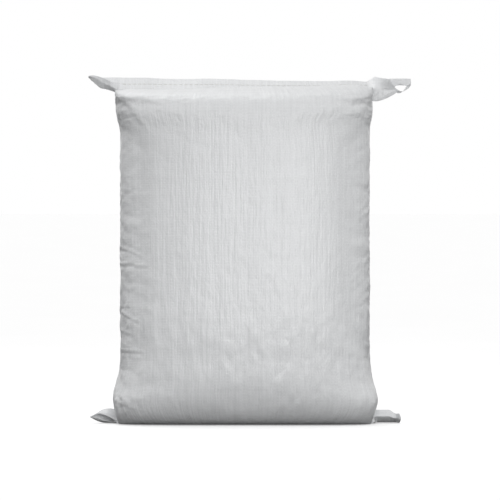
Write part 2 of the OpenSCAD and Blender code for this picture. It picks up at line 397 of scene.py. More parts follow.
def add_creases(grid, length, depth):
    """Moves the cloth along its normals: crumpled side panels, puckers under the mouth, a knot of creases
    by the lower left corner and crisp creases on the left side. Each is a mask times a pattern."""
    columns, rows = grid.shape[0], grid.shape[1] - 1
    u = (np.arange(columns) * GIRTH / columns)[:, None] + np.zeros((1, rows + 1))
    v = (np.arange(rows + 1) * length / rows)[None, :] + np.zeros((columns, 1))
    x, y, z = grid[..., 0], grid[..., 1], grid[..., 2]
    from_right = np.where(u < GIRTH / 2.0, u, u - GIRTH)
    from_left = u - GIRTH / 2.0
    left = 1.0 - smooth((np.abs(from_left) - 0.055) / 0.070)
    right = 1.0 - smooth((np.abs(from_right) - 0.045) / 0.065)
    front = smooth(-y / 0.012)
    loose = smooth((z - 0.010) / 0.030) * smooth((CREASE_Z - 0.002 - z) / 0.020)
    move = 0.0012 * left * crumple(from_left * 0.9, v * 1.35, 40) * loose
    move += 0.0010 * right * crumple(from_right * 0.8, v * 1.3, 60) * loose
    middle = (1.0 - left) * (1.0 - right)
    move += 0.00045 * middle * crumple(u, 0.6 * v, 80) * loose
    move += 0.00040 * middle * hills(u, v, 0.011, 0.120, 90) * smooth((0.30 - z) / 0.20) * loose
    move += 0.00048 * hills(u, v, 0.0058, 0.018, 91) * smooth((0.28 - z) / 0.16) * loose
    # each side panel falls away from the front face along a soft ridge
    for edge, sign, drop in ((panel_edge_left(z), -1.0, 0.0036), (panel_edge_right(z), 1.0, 0.0026)):
        out = sign * (x - edge)
        inside = front * loose * (np.abs(x) > 0.10) * (1.0 - 0.6 * smooth((z - 0.420) / 0.060))
        move -= inside * drop * smooth((out + 0.010) / 0.030) * smooth((0.056 - out) / 0.034)
    # puckers where the stitched mouth gathers the cloth: by the seam, and where the cloth turns down the
    # front
    down = length - v
    gather = 0.7 * hump(down, 0.024, 0.017) + hump(down, 0.090, 0.020) * front
    move += 0.00120 * gather * crumple(u * 1.8, down * 3.4, 97)
    move += 0.00070 * gather * hills(u, down, 0.010, 0.0050, 98)
    # creases round the lower left corner
    knot = hump(x, -0.196, 0.020) * hump(z, 0.036, 0.016) * front
    move += knot * (0.0016 + 0.0032 * crumple(from_left * 2.6, v * 2.6, 70))
    # a slanted ridge runs down from the upper left corner, with a valley outside it
    inward = (x + 0.194) * 0.8 + (z - 0.511) * 0.6
    run = (x + 0.194) * 0.6 - (z - 0.511) * 0.8
    ridge = 0.0010 * hump(inward, 0.0035, 0.0042) - 0.0005 * hump(inward, -0.0045, 0.0050)
    move += ridge * front * smooth(run / 0.012) * smooth((0.085 - run) / 0.035)
    # short crisp creases, nearly level, that run in from the left side
    for height, slope, deep, reach in SIDE_CREASES:
        off = z - height - slope * (x + 0.175) - 0.0012 * hills(x, z, 0.012, 0.050, 75)
        ridge = deep * (hump(off, 0.0, 0.0016) - 0.8 * hump(off, -0.0035, 0.0026))
        move += ridge * front * smooth((-x - 0.196 + reach) / 0.014) * smooth((0.205 + x) / 0.008)
    move *= depth
    move[:, :2] = 0.0
    move[:, -1:] = 0.0
    out = grid + normals(grid, True) * move[..., None]
    out[:, -1] = grid[:, -1]
    out[..., 2] = np.maximum(out[..., 2], 0.0006)
    return out


def tuck_fins(grid):
    """Draws in cloth that stands out past the sides: beyond a limit, x goes on by 3 mm at most, as 1 - e
    to the power of minus the distance over 10 mm."""
    x, z = grid[..., 0], grid[..., 2]
    limit = np.where(z > 0.25, TOP_FOLD_X, FOOT_FOLD_X) + 0.006 * hump(z, 0.25, 0.19)
    over = np.maximum(np.abs(x) - limit, 0.0)
    grid[..., 0] = np.sign(x) * (np.minimum(np.abs(x), limit) + 0.003 * (1.0 - np.exp(-over / 0.010)))
    return grid


def level_ring(mark, path, half):
    """The fill's own section at a length up the centre path: the cloth there without the ears' share of
    it. Under the foot it is the flat patch, which clears the hem."""
    run, depth, height = path
    z = float(np.interp(mark, run, height))
    patch_share = min(1.0, mark / run[1])
    a = float(half_width(z)) if patch_share >= 1.0 else HEM_HALF_W - (HEM_HALF_W - FOOT_HALF_W) * patch_share
    b = float(np.interp(mark, run, depth))
    x, y = half_section(a, b, float(squareness(z)), half + 1, fins=False)
    ring = np.zeros((2 * half, 3))
    ring[:half + 1] = np.stack([x[::-1], -y[::-1], z + 0.0 * x], -1)
    ring[half:, :2] = np.stack([x, y], -1)[:-1]
    ring[half:, 2] = z
    ring[:, 1] += HEM_START_Y * (1.0 - patch_share)
    over_hem = smooth((ring[:, 1] + 0.012) / 0.010) * smooth((0.036 - ring[:, 1]) / 0.010)
    ring[:, 2] = np.maximum(ring[:, 2], 0.0006 + (HEM_CLEAR - 0.0006) * over_hem * (z < 0.001))
    return ring


def square_ends(grid, length):
    """Gives both ends of the cloth the fill's own level sections, which run square to the ears' root
    lines, and passes from them to the relaxed cloth over 45 mm."""
    columns, rows = grid.shape[0], grid.shape[1] - 1
    path = centre_path()
    for j in range(rows + 1):
        mark = length * j / rows
        share = max(float(smooth((0.150 - length + mark) / 0.045)), float(smooth((0.170 - mark) / 0.045)))
        if share > 0.0:
            grid[:, j] = grid[:, j] * (1.0 - share) + level_ring(mark, path, columns // 2) * share
    near = smooth(1.0 - (length - np.arange(rows + 1) * length / rows) / 0.030)
    grid[..., 2] += (mouth_line(grid[..., 0]) - CREASE_Z) * near
    grid[:, -1, 1] = 0.0
    return grid


def shape_shoulder(grid, length):
    """The cloth in front of the mouth swells a little above it, most on the right, and dips behind it,
    where the band can lie down; the upper left corner reaches further out. Each is a product of smooth
    steps."""
    rows = grid.shape[1] - 1
    down = length - np.arange(rows + 1) * length / rows
    x, y, z = grid[..., 0], grid[..., 1], grid[..., 2]
    swell = 0.0022 + 0.0035 * smooth((x + 0.14) / 0.16) + 0.0040 * smooth((x - 0.04) / 0.15)
    swell = swell * smooth(down / 0.024) * smooth((0.105 - down) / 0.075) * smooth((z - 0.455) / 0.050)
    swell = swell * (1.0 - 0.45 * smooth((np.abs(x) - 0.172) / 0.024))
    grid[..., 2] += swell * np.where(y < 0.0, 1.0, -0.55)
    grid[..., 0] -= 0.0036 * smooth((z - 0.440) / 0.060) * smooth((-x - 0.08) / 0.115)
    return grid


# ---------------------------------------------------------------- meshes


def mesh_piece(name, parts, material):
    """A mesh object from (points, faces, cloth) parts, where cloth is each point's place on the flat
    cloth."""
    points = np.concatenate([part[0].reshape(-1, 3) for part in parts])
    starts = np.cumsum([0] + [len(part[0].reshape(-1, 3)) for part in parts[:-1]])
    faces = np.concatenate([part[1] + start for part, start in zip(parts, starts)])
    cloth = np.concatenate([part[2] for part in parts])
    mesh = bpy.data.meshes.new(name)
    mesh.from_pydata(points.tolist(), [], faces.tolist())
    layer = mesh.uv_layers.new(name="cloth")
    layer.data.foreach_set("uv", cloth.reshape(-1).astype(np.float32))
    mesh.polygons.foreach_set("use_smooth", [True] * len(mesh.polygons))
    mesh.materials.append(material)
    mesh.update()
    piece = bpy.data.objects.new(name, mesh)
    bpy.context.scene.collection.objects.link(piece)
    return piece


def weld(piece, distance):
    """Joins points that lie together, drops faces that vanish with them, and turns every face outwards."""
    work = bmesh.new()
    work.from_mesh(piece.data)
    bmesh.ops.remove_doubles(work, verts=work.verts, dist=distance)
    bmesh.ops.dissolve_degenerate(work, edges=work.edges, dist=distance / 4.0)
    bmesh.ops.recalc_face_normals(work, faces=work.faces)
    work.to_mesh(piece.data)
    work.free()
    piece.data.update()


def net_faces(columns, rows, closed):
    """Quads of a grid whose points are numbered column by column, with rows + 1 points a column."""
    i = np.arange(columns)[:, None]
    j = np.arange(rows)[None, :]
    stride = rows + 1
    following = (i + 1) % columns if closed else i + 1
    a = i * stride + j
    b = following * stride + j
    return np.stack([a, b, b + 1, a + 1], -1).reshape(-1, 4)


def shell(middle, flat, thick):
    """A closed sheet: the two faces lie half its thickness out along a grid's normals, joined round the
    rim. flat is each grid point's place on the flat cloth."""
    m, n = middle.shape[:2]
    side = normals(middle, False) * thick / 2.0
    points = np.concatenate([(middle + side).reshape(-1, 3), (middle - side).reshape(-1, 3)])
    top = net_faces(m - 1, n - 1, False)
    under = top[:, ::-1] + m * n
    rim = np.concatenate([np.arange(n), np.arange(1, m) * n + n - 1,
                          (m - 1) * n + np.arange(n - 2, -1, -1), np.arange(m - 2, 0, -1) * n])
    nxt = np.roll(rim, -1)
    edge = np.stack([rim, nxt, nxt + m * n, rim + m * n], -1)
    faces = np.concatenate([top, under, edge])
    both = np.concatenate([flat.reshape(-1, 2), flat.reshape(-1, 2)])
    return points, faces, both[faces]


def patch(lower, upper, count, rows, depth_of, flat_start):
    """A sheet's middle grid between two edge lines of (x, z) points, each run from root to tip, with
    depth_of giving y from (how far out, how far up, x, z); and its place on the flat cloth."""
    low, high = curve(lower, count), curve(upper, count)
    t = np.linspace(0.0, 1.0, rows)[None, :, None]
    xz = low[:, None] * (1.0 - t) + high[:, None] * t
    s = np.linspace(0.0, 1.0, count)[:, None] + np.zeros((1, rows))
    up = t[..., 0] + np.zeros((count, 1))
    x, z = xz[..., 0], xz[..., 1]
    grid = np.stack([x, depth_of(s, up, x, z), z], -1)
    flat = np.stack([flat_start[0] + x, flat_start[1] + z], -1)
    return grid, flat


def tubes(paths, up, radius, sides):
    """Round threads along many paths at once, (threads, points, 3), each a ring of points carried along its
    path and drawn in at both ends. cloth holds the length along, and the share of a turn round."""
    many, long = paths.shape[:2]
    ahead = np.gradient(paths, axis=1)
    ahead /= np.linalg.norm(ahead, axis=-1, keepdims=True) + 1e-12
    side = np.cross(ahead, up)
    side /= np.linalg.norm(side, axis=-1, keepdims=True) + 1e-12
    rise = np.cross(side, ahead)
    turn = np.linspace(0.0, 2.0 * np.pi, sides, endpoint=False)
    ring = (np.cos(turn)[:, None] * side[:, :, None] + np.sin(turn)[:, None] * rise[:, :, None])
    thin = np.ones(long)
    thin[[0, -1]] = 0.45
    points = paths[:, :, None] + ring * (radius * thin)[None, :, None, None]
    k = np.arange(many)[:, None, None] * long * sides
    i = np.arange(long - 1)[None, :, None] * sides
    j = np.arange(sides)[None, None, :]
    after = (j + 1) % sides
    walls = np.stack([k + i + j, k + i + after, k + i + sides + after, k + i + sides + j], -1).reshape(-1, 4)
    first = np.arange(many)[:, None] * long * sides
    last = first + (long - 1) * sides
    caps = np.concatenate([first + [0, 3, 2, 1], first + [0, 5, 4, 3], last + [0, 1, 2, 3],
                           last + [0, 3, 4, 5]])
    faces = np.concatenate([walls, caps])
    step = np.linalg.norm(np.diff(paths, axis=1), axis=-1)
    run = np.concatenate([np.zeros((many, 1)), np.cumsum(step, 1)], 1)
    place = np.stack([np.repeat(run[:, :, None], sides, 2),
                      np.broadcast_to(np.arange(sides) / sides, (many, long, sides))], -1).reshape(-1, 2)
    return points.reshape(-1, 3), faces, place[faces]


# ---------------------------------------------------------------- the two hems


def band_lean(x):
    """How far the mouth's band leans back from upright, which is more on the right."""
    return np.radians(57.0 + 10.0 * x / TOP_FOLD_X)


def band_point(x, t, n):
    """A point of the mouth's band: t up from its crease, n out of its front face."""
    lean = band_lean(x)
    rise = smooth(t / BAND_L)
    wave = rise * (0.0007 * hills(x, t, 0.052, 0.5, 11) + 0.0004 * hills(x, t, 0.017, 0.5, 12))
    pinch = -0.00022 * hump(t, SEAM_UP, 0.0022) * (0.6 + 0.4 * np.cos(2.0 * np.pi * x / 0.008))
    n = n + wave + pinch
    edge = 0.0006 * rise * hills(x, 0.0 * x, 0.040, 1.0, 13)
    y = t * np.sin(lean) - n * np.cos(lean)
    z = mouth_line(x) + t * np.cos(lean) + n * np.sin(lean) + edge
    return np.stack([x, y, z], -1)


def hem_point(x, t, n):
    """A point of the foot's hem, which lies flat: t back from its crease, n up from its middle ply."""
    return np.stack([x, HEM_START_Y + t, HEM_LEVEL + n + 0.00012 * hills(x, t, 0.030, 0.02, 21)], -1)


def folded_hem(point, half_w, length):
    """The middle grid of a hem: up from its crease, round a fold at its free edge, and down behind itself
    by the turned ply, carried across the sack; and its place on the flat cloth."""
    fold_r = 0.00050
    straight = np.linspace(0.0, length - fold_r, 26)
    turn = np.linspace(0.0, np.pi, 9)[1:-1]
    back = np.linspace(length - fold_r, length - TURNED_L, 16)
    t = np.concatenate([straight, length - fold_r + fold_r * np.sin(turn), back])
    n = np.concatenate([np.zeros(26), -fold_r * (1.0 - np.cos(turn)), np.full(16, -2.0 * fold_r)])
    along = np.concatenate([[0.0], np.cumsum(np.hypot(np.diff(t), np.diff(n)))])
    x = np.linspace(-half_w, half_w, 281)
    grid = point(x[:, None] + 0.0 * t, t[None, :] + 0.0 * x[:, None], n[None, :] + 0.0 * x[:, None])
    flat = np.stack([x[:, None] + 0.0 * along, along[None, :] + 0.0 * x[:, None]], -1)
    return grid, flat


# ---------------------------------------------------------------- materials


def maths(operation, turned=False):
    """A method that adds one Math node, with the operands turned round for a reflected operator."""
    def method(self, other=None):
        values = [self] if other is None else [self, other]
        if turned:
            values.reverse()
        return self.paint.number("ShaderNodeMath", {"operation": operation}, values)
    return method


class Number:
    """A number socket of a material. Arithmetic on it adds Math nodes."""

    def __init__(self, paint, socket):
        self.paint = paint
        self.socket = socket

    __add__ = __radd__ = maths("ADD")
    __mul__ = __rmul__ = maths("MULTIPLY")
    __sub__ = maths("SUBTRACT")
    __rsub__ = maths("SUBTRACT", True)
    __truediv__ = maths("DIVIDE")
    __mod__ = maths("FLOORED_MODULO")
    __pow__ = maths("POWER")
    floor = maths("FLOOR")
    fraction = maths("FRACT")
    absolute = maths("ABSOLUTE")
    sine = maths("SINE")
    above = maths("GREATER_THAN")
    highest = maths("MAXIMUM")


class Paint:
    """A new material and the means to add its nodes."""

    def __init__(self, name):
        self.material = bpy.data.materials.new(name)
        self.material.use_nodes = True
        self.tree = self.material.node_tree
        self.shader = self.tree.nodes["Principled BSDF"]

    def node(self, kind, settings, inputs):
        """Any node, from its type, its settings, which are set first, and its sockets' values or links."""
        made = self.tree.nodes.new(kind)
        for name, value in settings.items():
            setattr(made, name, value)
        pairs = inputs.items() if isinstance(inputs, dict) else enumerate(inputs)
        for key, value in pairs:
            self.feed(made.inputs[key], value)
        return made

    def feed(self, socket, value):
        if isinstance(value, Number):
            value = value.socket
        if isinstance(value, bpy.types.NodeSocket):
            self.tree.links.new(value, socket)
        else:
            socket.default_value = value

    def number(self, kind, settings, inputs, output=0):
        return Number(self, self.node(kind, settings, inputs).outputs[output])

    def mix(self, share, first, second):
        """A colour between two colours."""
        made = self.node("ShaderNodeMix", {"data_type": "RGBA"}, {0: share, 6: first, 7: second})
        return made.outputs[2]

    def cloth_place(self):
        """The place on the flat cloth, in metres, from the piece's own map."""
        place = self.node("ShaderNodeUVMap", {"uv_map": "cloth"}, {})
        parts = self.node("ShaderNodeSeparateXYZ", {}, [place.outputs[0]])
        return place.outputs[0], Number(self, parts.outputs[0]), Number(self, parts.outputs[1])

    def noise(self, vector, scale, detail, rough=0.5):
        return self.number("ShaderNodeTexNoise", {"noise_dimensions": "3D"},
                           {"Vector": vector, "Scale": scale, "Detail": detail, "Roughness": rough})

    def stretched(self, vector, factors):
        """A place with each of its coordinates multiplied."""
        made = self.node("ShaderNodeVectorMath", {"operation": "MULTIPLY"}, [vector, factors])
        return made.outputs[0]

    def random(self, value):
        """The same random number for the same whole number."""
        return self.number("ShaderNodeTexWhiteNoise", {"noise_dimensions": "1D"}, {"W": value},
                           output="Value")

    def finish(self, colour, rough, height, distance):
        self.feed(self.shader.inputs["Base Color"], colour)
        self.feed(self.shader.inputs["Roughness"], rough)
        bump = self.node("ShaderNodeBump", {}, {"Strength": 1.0, "Distance": distance, "Height": height})
        self.feed(self.shader.inputs["Normal"], bump.outputs["Normal"])
        return self.material


def shade_of(colour, factor):
    """A colour made darker or lighter by a factor, with full opacity."""
    return tuple(min(1.0, part * factor) for part in colour[:3]) + (1.0,)


def woven_cloth(name, sizes, colours):
    """Plain-woven flat tapes: one tape over, one under, each with its own tone, streaked along its
    length, with painted shade in the dips between tapes, and with fine crinkles from handling."""
    paint = Paint(name)
    place, u, v = paint.cloth_place()
    across, along = u / sizes.tape_pitch, v / sizes.tape_pitch
    tape, line = across.floor(), along.floor()
    over = (tape + line) % 2.0
    bend_u = 1.0 - ((across.fraction() * 2.0 - 1.0).absolute() ** 2.0)
    bend_v = 1.0 - ((along.fraction() * 2.0 - 1.0).absolute() ** 2.0)
    flat_u, flat_v = bend_u ** 0.35, bend_v ** 0.35
    warp = flat_u * (bend_v * 0.45 + 0.55)
    weft = flat_v * (bend_u * 0.45 + 0.55)
    weave = over * warp + (1.0 - over) * weft
    tone = over * paint.random(tape) + (1.0 - over) * (paint.random(line + 517.0) * 0.4 + 0.3)
    streak = paint.noise(paint.stretched(place, (170.0, 9.0, 1.0)), 1.0, 3.0, 0.6)
    rung = paint.noise(paint.stretched(place, (9.0, 170.0, 1.0)), 1.0, 2.0, 0.55)
    cloud = paint.noise(place, 14.0, 3.0, 0.5)
    light = tone * 0.24 + streak * 0.52 + rung * 0.20 + cloud * 0.22
    light = (light - 0.20) * 1.25
    # painted shade: the cloth's colour is darker where the weave's relief dips between tapes
    gap = (1.0 - weave) ** 2.0
    shade = (light - gap * 0.50 * colours.painted_gap_shade).highest(0.0)
    colour = paint.mix(shade, shade_of(colours.cloth, 0.86), shade_of(colours.cloth, 1.08))
    rough = 0.30 + streak * 0.12 + gap * 0.18
    crinkle = paint.noise(paint.stretched(place, (95.0, 60.0, 1.0)), 1.0, 4.0, 0.62)
    ridge = paint.noise(paint.stretched(place, (240.0, 16.0, 1.0)), 1.0, 2.0, 0.5)
    height = weave * 0.10 + crinkle * 1.25 * sizes.crinkle + ridge * 1.30 * sizes.crinkle + tone * 0.04
    paint.shader.inputs["Specular IOR Level"].default_value = 0.75
    return paint.finish(colour, rough, height, 0.001)


def sewing_thread(name, colours):
    """Twisted thread: slanted strands round its length, with painted shade in the grooves between them, and a
    light fuzz.
    """
    paint = Paint(name)
    place, along, round_it = paint.cloth_place()
    strand = ((along / 0.0016 + round_it) * (2.0 * math.pi)).sine() * 0.5 + 0.5
    fuzz = paint.noise(paint.stretched(place, (9000.0, 12.0, 1.0)), 1.0, 3.0)
    light = strand * 0.7 + fuzz * 0.3
    # painted shade: the thread's colour is darker in the grooves between strands, where its relief is low
    colour = paint.mix(light, shade_of(colours.thread, 0.72), shade_of(colours.thread, 1.06))
    return paint.finish(colour, 0.62 + fuzz * 0.2, light, 0.00012)


def loose_grain(name, colours):
    """Small grains packed together: round cells with painted shade towards the gaps between them, each with
    its own tone.
    """
    paint = Paint(name)
    place = paint.node("ShaderNodeTexCoord", {}, {}).outputs["Object"]
    cells = paint.node("ShaderNodeTexVoronoi", {"feature": "F1"}, {"Vector": place, "Scale": 260.0})
    distance = Number(paint, cells.outputs["Distance"])
    parts = paint.node("ShaderNodeSeparateColor", {}, [cells.outputs["Color"]])
    own = Number(paint, parts.outputs[0])
    # each grain's own tone, with painted shade towards the gaps between grains
    light = own * 0.6 + (1.0 - distance) * 0.4
    colour = paint.mix(light, shade_of(colours.goods, 0.45), shade_of(colours.goods, 1.25))
    return paint.finish(colour, 0.55 + own * 0.25, 1.0 - distance, 0.0016)


# ---------------------------------------------------------------- sizes and colours


class SackSizes(bpy.types.PropertyGroup):
    """Sizes that a user would change"""
    crease_depth: bpy.props.FloatProperty(
        name="Crease depth", description="How deep the creases of the filled cloth are, as a share of usual",
        default=1.0, min=0.0, max=2.0, subtype="FACTOR")
    tape_pitch: bpy.props.FloatProperty(
        name="Tape pitch", description="Distance from one woven tape to the next",
        default=0.00254, min=0.0015, max=0.004, precision=5, subtype="DISTANCE", unit="LENGTH")
    crinkle: bpy.props.FloatProperty(
        name="Crinkle", description="How strong the fine crinkles of the cloth are, as a share of usual",
        default=0.75, min=0.0, max=2.0, subtype="FACTOR")
    stitch_length: bpy.props.FloatProperty(
        name="Stitch length", description="Length of one chain stitch",
        default=0.008, min=0.005, max=0.012, precision=4, subtype="DISTANCE", unit="LENGTH")
    thread: bpy.props.FloatProperty(
        name="Thread", description="Thickness of the sewing thread",
        default=0.0008, min=0.0004, max=0.0012, precision=5, subtype="DISTANCE", unit="LENGTH")
    grain_gap: bpy.props.FloatProperty(
        name="Goods inset", description="How far the goods lie inside the cloth",
        default=0.009, min=0.004, max=0.02, precision=4, subtype="DISTANCE", unit="LENGTH")


class SackColours(bpy.types.PropertyGroup):
    """Colours that a user would change"""
    cloth: bpy.props.FloatVectorProperty(
        name="Cloth", description="Colour of the woven tapes",
        default=(0.79, 0.80, 0.81, 1.0), size=4, min=0.0, max=1.0, subtype="COLOR")
    thread: bpy.props.FloatVectorProperty(
        name="Thread", description="Colour of the sewing thread",
        default=(0.86, 0.86, 0.83, 1.0), size=4, min=0.0, max=1.0, subtype="COLOR")
    goods: bpy.props.FloatVectorProperty(
        name="Goods", description="Colour of the loose goods inside",
        default=(0.62, 0.47, 0.25, 1.0), size=4, min=0.0, max=1.0, subtype="COLOR")
    floor: bpy.props.FloatVectorProperty(
        name="Floor", description="Colour of the floor",
        default=(0.88, 0.88, 0.88, 1.0), size=4, min=0.0, max=1.0, subtype="COLOR")
    # painted shade: how dark the dips between tapes are painted, as a share of usual
    painted_gap_shade: bpy.props.FloatProperty(
        name="Weave contrast", description="How dark the gaps between tapes are, as a share of usual",
        default=1.0, min=0.0, max=2.0, subtype="FACTOR")


def shared_material(context, kind):
    """The one material of its kind, made when it is first asked for."""
    found = bpy.data.materials.get(kind)
    if found:
        return found
    sizes, colours = context.scene.sack_sizes, context.scene.sack_colours
    if kind == "woven cloth":
        return woven_cloth(kind, sizes, colours)
    if kind == "sewing thread":
        return sewing_thread(kind, colours)
    return loose_grain(kind, colours)


# ---------------------------------------------------------------- operators


class SACK_OT_skin(bpy.types.Operator):
    """Make the filled skin: the tube of cloth relaxed round its fill"""
    bl_idname = "sack.skin"
    bl_label = "Filled skin"

    def execute(self, context):
        grid, length = first_grid()
        grid = Relaxer(grid, length, 7).run(320)
        for axis in (0, 1):
            grid = finer(grid, axis == 0, axis)
        grid = square_ends(tuck_fins(grid), length)
        grid = shape_shoulder(grid, length)
        grid = add_creases(grid, length, context.scene.sack_sizes.crease_depth)
        columns, rows = grid.shape[0], grid.shape[1] - 1
        u = np.stack([np.arange(columns), np.arange(1, columns + 1)], -1) * GIRTH / columns
        v = np.stack([np.arange(rows), np.arange(1, rows + 1)], -1) * length / rows
        cloth = np.zeros((columns, rows, 4, 2))
        cloth[..., 0] = u[:, None, [0, 1, 1, 0]]
        cloth[..., 1] = v[None, :, [0, 0, 1, 1]]
        faces = net_faces(columns, rows, True)
        skin = mesh_piece("sack_skin", [(grid, faces, cloth.reshape(-1, 4, 2))],
                          shared_material(context, "woven cloth"))
        weld(skin, 0.0001)
        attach(skin, "sack")
        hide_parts("woven_sleeve")
        return {"FINISHED"}


class SACK_OT_goods(bpy.types.Operator):
    """Make the loose goods that fill the sack"""
    bl_idname = "sack.goods"
    bl_label = "Loose goods"

    def execute(self, context):
        inset = context.scene.sack_sizes.grain_gap
        turn = np.linspace(0.0, 2.0 * np.pi, 120, endpoint=False)[:, None]
        level = np.linspace(0.0, np.pi, 80)[None, :]
        low, high = inset, CREASE_Z - 2.0 * inset
        z = low + (high - low) * (1.0 - np.cos(level)) / 2.0
        ends = np.minimum(1.0, np.sin(level) / 0.16)
        power = 2.0 / squareness(z)
        a = (half_width(z) - inset) * ends
        b = np.maximum(half_depth(z) - inset, 0.001) * ends
        x = a * np.sign(np.cos(turn)) * np.abs(np.cos(turn)) ** power
        y = b * np.sign(np.sin(turn)) * np.abs(np.sin(turn)) ** power
        grid = np.stack([x, y, z + 0.0 * turn], -1)
        columns, rows = grid.shape[0], grid.shape[1] - 1
        faces = net_faces(columns, rows, True)
        place = np.stack([x, z + 0.0 * turn], -1).reshape(-1, 2)
        goods = mesh_piece("goods", [(grid, faces, place[faces])], shared_material(context, "loose grain"))
        weld(goods, 0.00005)
        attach(goods, "sack")
        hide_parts("bulk_fill")
        return {"FINISHED"}


class SACK_OT_hems(bpy.types.Operator):
    """Make the folded hem of the mouth and the one under the foot"""
    bl_idname = "sack.hems"
    bl_label = "Folded hems"

    def execute(self, context):
        cloth = shared_material(context, "woven cloth")
        grid, flat = folded_hem(band_point, TOP_FOLD_X - 0.0005, BAND_L)
        band = mesh_piece("mouth_band", [shell(grid, flat, DOUBLE_PLY)], cloth)
        weld(band, 0.00002)
        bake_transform(band)
        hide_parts("top_band")
        grid, flat = folded_hem(hem_point, HEM_HALF_W, HEM_L)
        hem = mesh_piece("foot_fold", [shell(grid, flat, DOUBLE_PLY)], cloth)
        weld(hem, 0.00002)
        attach(hem, "sack")
        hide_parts("foot_hem")
        return {"FINISHED"}


class SACK_OT_stitches(bpy.types.Operator):
    """Make the chain stitches of both seams"""
    bl_idname = "sack.stitches"
    bl_label = "Chain stitches"

    def execute(self, context):
        sizes = context.scene.sack_sizes
        thread = shared_material(context, "sewing thread")
        seams = (("top", band_point, TOP_FOLD_X - 0.004, "mouth"),
                 ("foot", hem_point, HEM_HALF_W - 0.003, "sack"))
        for where, point, half_w, body in seams:
            count = int(2.0 * half_w / sizes.stitch_length)
            start = -count * sizes.stitch_length / 2.0
            first = (start + np.arange(count) * sizes.stitch_length)[:, None]
            radius = sizes.thread / 2.0
            up = point(first, SEAM_UP + 0.0 * first, 0.01 + 0.0 * first)
            up = up - point(first, SEAM_UP + 0.0 * first, 0.0 * first)
            self.needle(where, point, first, up, radius, body, thread, sizes.stitch_length)
            self.looper(where, point, first, up, radius, body, thread, sizes.stitch_length)
        return {"FINISHED"}

    def needle(self, where, point, first, up, radius, body, thread, step):
        """One stitch after another on the face: each rises out of its hole, lies on the cloth and dips
        again."""
        s = np.linspace(0.0, 1.0, 11)[None, :]
        face = DOUBLE_PLY / 2.0
        rise = face + radius * (2.6 * np.sin(np.pi * s) ** 0.35 - 2.0)
        path = point(first + (0.03 + 0.94 * s) * step, SEAM_UP + 0.0 * s * first, rise + 0.0 * first)
        self.piece(where + "_needle_stitches", path, up, radius, body, thread, where + "_needle_thread")

    def looper(self, where, point, first, up, radius, body, thread, step):
        """A chain of loops on the back: each is a long eye that goes through the one before it."""
        turn = np.linspace(0.06 * np.pi, 1.94 * np.pi, 21)[None, :]
        back = -(DOUBLE_PLY / 2.0 + 0.001 + radius * 0.9)
        along = step * (0.62 - 0.62 * np.cos(turn))
        wide = 0.0010 * np.sin(turn) * (1.0 - 0.35 * np.cos(turn))
        dip = back - 0.55 * radius * np.sin(turn / 2.0)
        path = point(first + along, SEAM_UP + wide + 0.0 * first, dip + 0.0 * first)
        self.piece(where + "_looper_stitches", path, up, radius * 0.85, body, thread,
                   where + "_looper_thread")

    def piece(self, name, path, up, radius, body, thread, node):
        made = mesh_piece(name, [tubes(path, up, radius, 6)], thread)
        weld(made, 0.000005)
        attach(made, body)
        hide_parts(node)


# outlines of the ears, as (x, z) from root to tip
RIGHT_FRONT_TOP = ((0.1900, 0.5320), (0.1975, 0.5366), (0.2025, 0.5396), (0.2085, 0.5385), (0.2150, 0.5368),
                   (0.2220, 0.5358), (0.2267, 0.5310), (0.2298, 0.5265), (0.2360, 0.5203), (0.2407, 0.5182))
RIGHT_FRONT_LOW = ((0.1900, 0.5020), (0.2034, 0.5014), (0.2097, 0.5024), (0.2190, 0.5055), (0.2280, 0.5100),
                   (0.2360, 0.5146), (0.2407, 0.5145))
RIGHT_BACK_TOP = ((0.1900, 0.5322), (0.2150, 0.5358), (0.2350, 0.5366), (0.2500, 0.5366), (0.2575, 0.5364))
RIGHT_BACK_LOW = ((0.1900, 0.5060), (0.2190, 0.5085), (0.2300, 0.5165), (0.2335, 0.5240), (0.2375, 0.5272),
                  (0.2425, 0.5280), (0.2475, 0.5262), (0.2520, 0.5252), (0.2583, 0.5290))
RIGHT_STRAND = ((0.2360, 0.5164), (0.2410, 0.5158), (0.2455, 0.5170), (0.2500, 0.5205), (0.2540, 0.5245),
                (0.2572, 0.5290))
LEFT_FRONT_TOP = ((-0.1920, 0.5285), (-0.2040, 0.5306), (-0.2140, 0.5346), (-0.2236, 0.5386),
                  (-0.2330, 0.5413), (-0.2400, 0.5418), (-0.2432, 0.5404))
LEFT_FRONT_LOW = ((-0.1920, 0.5130), (-0.2040, 0.5166), (-0.2174, 0.5206), (-0.2250, 0.5222),
                  (-0.2330, 0.5288), (-0.2396, 0.5345), (-0.2437, 0.5388))
LEFT_UNDER_TOP = ((-0.1920, 0.5240), (-0.2040, 0.5262), (-0.2174, 0.5310), (-0.2250, 0.5335),
                  (-0.2330, 0.5372), (-0.2390, 0.5396))
LEFT_BACK_TOP = ((-0.1920, 0.5388), (-0.2100, 0.5390), (-0.2240, 0.5385), (-0.2320, 0.5394))
LEFT_BACK_LOW = ((-0.1920, 0.5180), (-0.2100, 0.5235), (-0.2240, 0.5300), (-0.2320, 0.5370))


LOWER_LEFT_TOP = ((-0.1930, 0.0230), (-0.2030, 0.0212), (-0.2100, 0.0222), (-0.2170, 0.0219),
                  (-0.2250, 0.0196), (-0.2310, 0.0158), (-0.2365, 0.0128), (-0.2415, 0.0102))
LOWER_LEFT_CURL = ((-0.1930, 0.0030), (-0.2020, 0.0050), (-0.2100, 0.0094), (-0.2170, 0.0125),
                   (-0.2250, 0.0152), (-0.2305, 0.0148), (-0.2362, 0.0121), (-0.2412, 0.0098))
LOWER_LEFT_FLOOR = ((-0.1930, 0.0006), (-0.2060, 0.0006), (-0.2190, 0.0007), (-0.2250, 0.0018),
                    (-0.2330, 0.0048), (-0.2413, 0.0096))
LOWER_LEFT_LIP = ((-0.1930, 0.0020), (-0.2060, 0.0026), (-0.2190, 0.0048), (-0.2270, 0.0078),
                  (-0.2340, 0.0092), (-0.2414, 0.0099))
